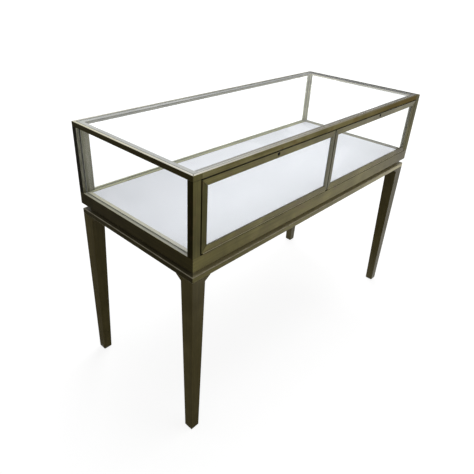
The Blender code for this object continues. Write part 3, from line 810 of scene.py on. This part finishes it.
def loop_seed(name, loops):
    """A mesh of closed loops of edges."""
    points = []
    edges = []
    for loop in loops:
        start = len(points)
        points += loop
        edges += [(start + i, start + (i + 1) % len(loop)) for i in range(len(loop))]
    mesh = bpy.data.meshes.new(name)
    mesh.from_pydata(points, edges, [])
    return mesh


def row(first, last, pitch):
    """Evenly spread places between two points, about a pitch apart, both ends included."""
    gaps = max(1, round((last - first).length / pitch))
    return [first.lerp(last, i / gaps) for i in range(gaps + 1)]


# Dressing the cabinet

# Posts and stiles: the finish of each, and of its faces that look left where it differs; these are bronze
# copies with painted shade, light and reflection
UPRIGHT_OF = {
    "post_front_left": (SHADED_FRONT_POST_BRONZE, SHADED_UPRIGHT_BRONZE),
    "post_front_right": (SHADED_UPRIGHT_BRONZE, LIT_INNER_BRONZE),
    "post_back_left": (LIT_BACK_BRONZE, PAINTED_SHADE_BRONZE),
    "post_back_right": (LIT_BACK_RIGHT_POST, None),
    "corner_cover": (LIT_BACK_BRONZE, None),
    "left_door_outer_stile": (SHADED_UPRIGHT_BRONZE, None),
    "left_door_inner_stile": (GREY_REFLECTION_MIDDLE_BRONZE, LIT_INNER_BRONZE),
    "right_door_inner_stile": (GREY_REFLECTION_MIDDLE_BRONZE, None),
    "right_door_outer_stile": (SHADED_UPRIGHT_BRONZE, LIT_INNER_BRONZE)}


def dress_upright(node):
    finish, left_finish = UPRIGHT_OF[node]
    coats = [(looks(LEFT), left_finish)] if left_finish else []
    if node.endswith("_stile"):
        soften(node, finish, DOOR_ROUND, coats=coats)
    else:
        soften(node, finish, BAR_ROUND, coats=coats, sharp=across(2))


def dress_light_and_shade_rail(node, axis, bronze):
    """A rail whose upper faces carry painted reflection and shade; some have an inner face pale with painted
    reflection too.
    """
    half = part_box(node)[1][axis]
    tints = LIGHT_AND_SHADE_TINTS_OF.get(node, LIGHT_AND_SHADE_TINTS)
    pale = light_and_shade_coat(f"pale_{node}", axis, half, RAIL_LIGHT_AND_SHADE_OF[node], tints)
    coats = [(looks(UP), pale)]
    cuts = ()
    # The base rails' groove walls take the same coat: painted light against the shade in the groove
    if node.startswith("base"):
        coats.append((in_groove(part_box(node), 1 - axis), pale))
    # Painted reflection on the left base rail's top outside the glass
    if node == "base_rail_left":
        outside = light_and_shade_coat(f"outside_{node}", axis, half, OUTSIDE_LEFT_REFLECTION, tints)
        coats.append((up_left_of(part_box("glass_left")[0].x), outside))
    # Painted reflection on the inner faces of the back and the right top rails
    if node in INNER_FACE_REFLECTION_OF:
        inward = FORWARD if node.endswith("back") else LEFT
        coats.append((looks(inward), light_and_shade_coat(f"inner_{node}", axis, half, INNER_FACE_REFLECTION_OF[node], tints)))
    if node == "top_rail_front":
        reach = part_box("right_door_outer_stile")[1].x
        cuts = (-reach, reach)
        # The front top rail's ends take the darker upright copies and its underside the dark lip coat:
        # painted shade
        coats.append((front_beyond(-1, reach), SHADED_FRONT_POST_BRONZE))
        coats.append((front_beyond(1, reach), SHADED_UPRIGHT_BRONZE))
        coats.append((looks(-UP), SHADED_LIP_BRONZE))
    soften(node, bronze, BAR_ROUND, coats=coats, cuts=cuts)


def dress_bars():
    """Rails, posts, plinth, aprons, legs and door bars, brushed along their length."""
    # Dark coat on the upper faces of door rails and of the front base rail: painted shade in the seams
    lip = (looks(UP), SHADED_LIP_BRONZE)
    for node in SLOT_OF:
        axis = long_axis(node)
        bronze = BRONZE[axis]
        if node in RIGHT_END_LIGHT_AND_SHADE:
            bronze = brushed_metal(f"bronze_{node}", axis, *RIGHT_END_LIGHT_AND_SHADE[node])
        # Ledge coats: painted light at the front, painted shade on the other sides
        ledge = LIT_FRONT_LEDGE if node.endswith("_front") else SHADED_SIDE_LEDGE[axis % 2]
        if node.startswith("leg"):
            soften(node, LEG_BRONZE, BAR_ROUND)
        elif node.startswith("apron"):
            top = (looks(UP), ledge)
            # Aprons: the ledge coat on top and a painted highlight on the rounded edges
            soften(node, bronze, APRON_ROUND, HIGHLIGHT_EDGE, 3, coats=[top], sharp=across(axis, MITRE))
        elif node in UPRIGHT_OF:
            dress_upright(node)
        elif node.endswith("_door_bottom_rail"):
            soften(node, bronze, DOOR_ROUND, coats=[lip], sharp=looks(UP))
        elif node.endswith("_door_top_rail"):
            low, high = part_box(node.replace("door_top_rail", "lock_barrel"))
            soften(node, bronze, DOOR_ROUND, coats=[lip], hole=(low + high) / 2)
        elif node in RAIL_LIGHT_AND_SHADE_OF:
            dress_light_and_shade_rail(node, axis, bronze)
        elif node == "base_rail_front":
            soften(node, bronze, BAR_ROUND, coats=[lip])
        # Plinths take the ledge coat of their side: painted light at the front, painted shade elsewhere
        elif node.startswith("plinth"):
            soften(node, ledge, BAR_ROUND)


def dress_glass():
    for node, slot in SLOT_OF.items():
        if slot == "clear_glass":
            soften(node, CLEAR_GLASS, PANE_ARRIS, GLASS_EDGE, 1, thin_axis(node))


def dress_boards_and_rubber():
    soften("display_deck", DECK_WHITE, BOARD_ROUND)
    soften("base_panel", PANEL_GREY, TRIM_ROUND)
    soften("top_glass_seal", SEAL_GREY, TRIM_ROUND)
    for side in SIDES:
        soften(f"{side}_door_bead", BEAD_GREY, TRIM_ROUND)
        for end in ("front", "back"):
            soften(f"foot_glide_{end}_{side}", GLIDE_BLACK, GLIDE_ROUND)


def dress_hinges_and_locks():
    for side in SIDES:
        # Hinge leaves pale with painted light in the seam's shade; pins dark with painted shade
        finish_node(f"{side}_hinge_frame_leaf", LIT_HINGE_BRONZE)
        finish_node(f"{side}_hinge_door_leaf", LIT_HINGE_BRONZE)
        finish_node(f"{side}_hinge_pin", SHADED_LIP_BRONZE)
        soften(f"{side}_lock_barrel", LOCK_BLACK, LOCK_ROUND)
        soften(f"{side}_lock_plug", LOCK_BLACK, LOCK_ROUND)
        soften(f"{side}_lock_cam", STEEL, LOCK_ROUND)


def leaf_screws(side, leaf, facing):
    """Screw places along a hinge leaf, near its far edge, on the face that looks at the other leaf."""
    low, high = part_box(f"{side}_hinge_{leaf}_leaf")
    z = low.z + HINGE_SHEET if facing > 0 else high.z - HINGE_SHEET
    y = high.y - SCREW_EDGE
    inset = SCREW_PITCH / 2
    places = row(Vector((low.x + inset, y, z)), Vector((high.x - inset, y, z)), SCREW_PITCH)
    return [(place, (0, 0, facing)) for place in places]


def panel_screws():
    """Screws along the long edges of the panel under the case."""
    low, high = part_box("base_panel")
    first, last = low.x + PANEL_SCREW_PITCH / 2, high.x - PANEL_SCREW_PITCH / 2
    spots = []
    for y in (low.y + PANEL_SCREW_EDGE, high.y - PANEL_SCREW_EDGE):
        places = row(Vector((first, y, low.z)), Vector((last, y, low.z)), PANEL_SCREW_PITCH)
        spots += [(place, (0, 0, -1)) for place in places]
    return spots


def add_fasteners():
    screws = screw_tree()
    nuts = nut_tree()
    small = {
        "Head Radius": SCREW_RADIUS, "Head Height": SCREW_HEIGHT, "Recess Width": SCREW_SLOT,
        "Sides": ROUND_SIDES, "Material": STEEL}
    large = {
        **small, "Head Radius": PANEL_SCREW_RADIUS, "Head Height": PANEL_SCREW_HEIGHT,
        "Recess Width": PANEL_SCREW_SLOT}
    on_frame = point_seed(
        "frame_leaf_screws", [spot for side in SIDES for spot in leaf_screws(side, "frame", 1)])
    grow(on_frame.name, screws, small, on_frame, "cabinet")
    on_panel = point_seed("base_panel_screws", panel_screws())
    grow(on_panel.name, screws, large, on_panel, "cabinet")
    for side in SIDES:
        on_door = point_seed(f"{side}_door_leaf_screws", leaf_screws(side, "door", -1))
        grow(on_door.name, screws, small, on_door, f"door_{side}")
        low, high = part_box(f"{side}_lock_barrel")
        middle = (low + high) / 2
        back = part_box(f"{side}_door_top_rail")[1].y
        spot = Vector((middle.x, back + NUT_GAP + NUT_HEIGHT / 2, middle.z))
        sizes = {
            "Radius": NUT_RADIUS, "Bore": (high.x - low.x) / 2 + NUT_GAP, "Height": NUT_HEIGHT,
            "Sides": NUT_SIDES, "Bore Sides": ROUND_SIDES, "Material": STEEL}
        seed = point_seed(f"{side}_lock_nut", [(spot, (0, 1, 0))])
        grow(seed.name, nuts, sizes, seed, f"door_{side}")


def pane_loops(pane, run, limits):
    """Two closed loops in the corner between a fixed pane and its frame, one on each face of the glass."""
    low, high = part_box(pane)
    thin = thin_axis(pane)
    inset = SEALANT_RADIUS + SEALANT_GAP
    first, last = limits[0] + inset, limits[1] - inset
    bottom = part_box("base_rail_left")[1].z + inset
    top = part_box("top_rail_left")[0].z - inset
    loops = []
    for face in (low[thin] - inset, high[thin] + inset):
        loop = []
        for along, z in ((first, bottom), (last, bottom), (last, top), (first, top)):
            point = Vector((0, 0, z))
            point[thin] = face
            point[run] = along
            loop.append(point)
        loops.append(loop)
    return loops


def add_sealant():
    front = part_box("post_front_left")[1].y
    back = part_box("post_back_left")[0].y
    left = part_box("corner_cover")[1].x
    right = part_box("post_back_right")[0].x
    loops = pane_loops("glass_back", 0, (left, right))
    for side in SIDES:
        loops += pane_loops(f"glass_{side}", 1, (front, back))
    seed = loop_seed("glazing_sealant", loops)
    sizes = {"Radius": SEALANT_RADIUS, "Sides": SEALANT_SIDES, "Material": SEALANT}
    grow(seed.name, sealant_tree(), sizes, seed, "cabinet")


# Studio

def seen_directly(tree):
    """1 for what the camera, a reflection or a view through glass meets, and 0 for light that bounces."""
    rays = add_node(tree, "ShaderNodeLightPath").outputs
    mirrored = reckon(tree, "MAXIMUM", rays["Is Camera Ray"], rays["Is Glossy Ray"])
    return reckon(tree, "MAXIMUM", mirrored, rays["Is Transmission Ray"])


def add_world():
    world = bpy.data.worlds.new("Studio")
    world.use_nodes = True
    tree = world.node_tree
    background = tree.nodes["Background"]
    tree.links.new(fit(tree, seen_directly(tree), WORLD_FILL, 1.0), background.inputs["Strength"])
    background.inputs["Color"].default_value = WHITE
    bpy.context.scene.world = world


def add_floor():
    """A pale floor that holds the shadow near the cabinet and runs out to white."""
    mesh = bpy.data.meshes.new("floor")
    corners = [(-1, -1), (1, -1), (1, 1), (-1, 1)]
    mesh.from_pydata([(x * FLOOR_REACH, y * FLOOR_REACH, 0) for x, y in corners], [], [(0, 1, 2, 3)])
    floor = add_object("floor", mesh)
    material, tree, shader = new_finish("pale_floor", {
        "Base Color": FLOOR_GREY, "Roughness": 0.9, "Specular IOR Level": 0.0, "Emission Color": WHITE})
    distance = add_node(tree, "ShaderNodeVectorMath", {0: object_place(tree)}, operation="LENGTH")
    lift = spread(tree, distance.outputs["Value"], FLOOR_NEAR, FLOOR_FAR, FLOOR_LIFT, 1.0)
    glow = reckon(tree, "MULTIPLY", lift, seen_directly(tree))
    tree.links.new(glow, shader.inputs["Emission Strength"])
    mesh.materials.append(material)


def add_left_screen():
    """Dark floor and wall on the left, and a mat by the left legs, that only reflections meet."""
    near, far, front, back, top, low = -0.602, -5.0, -2.6, 8.0, 3.6, 0.002
    mat_right, mat_front, mat_back = 0.4, -0.72, 0.24
    floor = [(near, front, low), (near, back, low), (far, back, low), (far, front, low)]
    wall_top = [(far, back, top), (far, front, top)]
    mat = [
        (near, mat_front, low), (mat_right, mat_front, low), (mat_right, mat_back, low),
        (near, mat_back, low)]
    mesh = bpy.data.meshes.new("left_screen")
    mesh.from_pydata(floor + wall_top + mat, [], [(0, 1, 2, 3), (3, 2, 4, 5), (6, 7, 8, 9)])
    material = new_finish("left_screen", {
        "Base Color": SCREEN_BLACK, "Specular IOR Level": 0.0, "Emission Color": SCREEN_GLOW,
        "Emission Strength": SCREEN_POWER})[0]
    mesh.materials.append(material)
    screen = add_object("left_screen", mesh)
    screen.visible_camera = False
    screen.visible_diffuse = False
    screen.visible_transmission = False
    screen.visible_shadow = False


def add_softbox(name, place, width, height, power):
    lamp = bpy.data.lights.new(name, "AREA")
    lamp.shape = "RECTANGLE"
    lamp.size = width
    lamp.size_y = height
    lamp.energy = power
    softbox = add_object(name, lamp)
    softbox.location = place
    softbox.rotation_euler = (AIM - Vector(place)).to_track_quat("-Z", "Y").to_euler()


def add_camera():
    """The photograph's viewpoint: yaw from +Y towards +X, pitch down, then roll about the view."""
    level = math.cos(CAMERA_PITCH)
    ahead = Vector((math.sin(CAMERA_YAW) * level, math.cos(CAMERA_YAW) * level, -math.sin(CAMERA_PITCH)))
    level_right = ahead.cross(UP).normalized()
    level_up = level_right.cross(ahead)
    right = math.cos(CAMERA_ROLL) * level_right + math.sin(CAMERA_ROLL) * level_up
    up = right.cross(ahead)
    data = bpy.data.cameras.new("photo_view")
    data.sensor_width = SENSOR
    data.lens = FOCAL_PIXELS / IMAGE_SIDE * SENSOR
    data.shift_x = 0.5 - IMAGE_CENTRE[0] / IMAGE_SIDE
    data.shift_y = IMAGE_CENTRE[1] / IMAGE_SIDE - 0.5
    data.clip_end = SIGHT
    camera = add_object("photo_view", data)
    turn = Matrix((right, up, -ahead)).transposed().to_4x4()
    camera.matrix_world = Matrix.Translation(CAMERA_PLACE) @ turn
    bpy.context.scene.camera = camera


dress_bars()
dress_glass()
dress_boards_and_rubber()
dress_hinges_and_locks()
add_fasteners()
add_sealant()
add_world()
add_floor()
add_left_screen()
for name, settings in SOFTBOXES.items():
    add_softbox(name, *settings)
add_camera()
bpy.context.scene.view_settings.view_transform = "Standard"
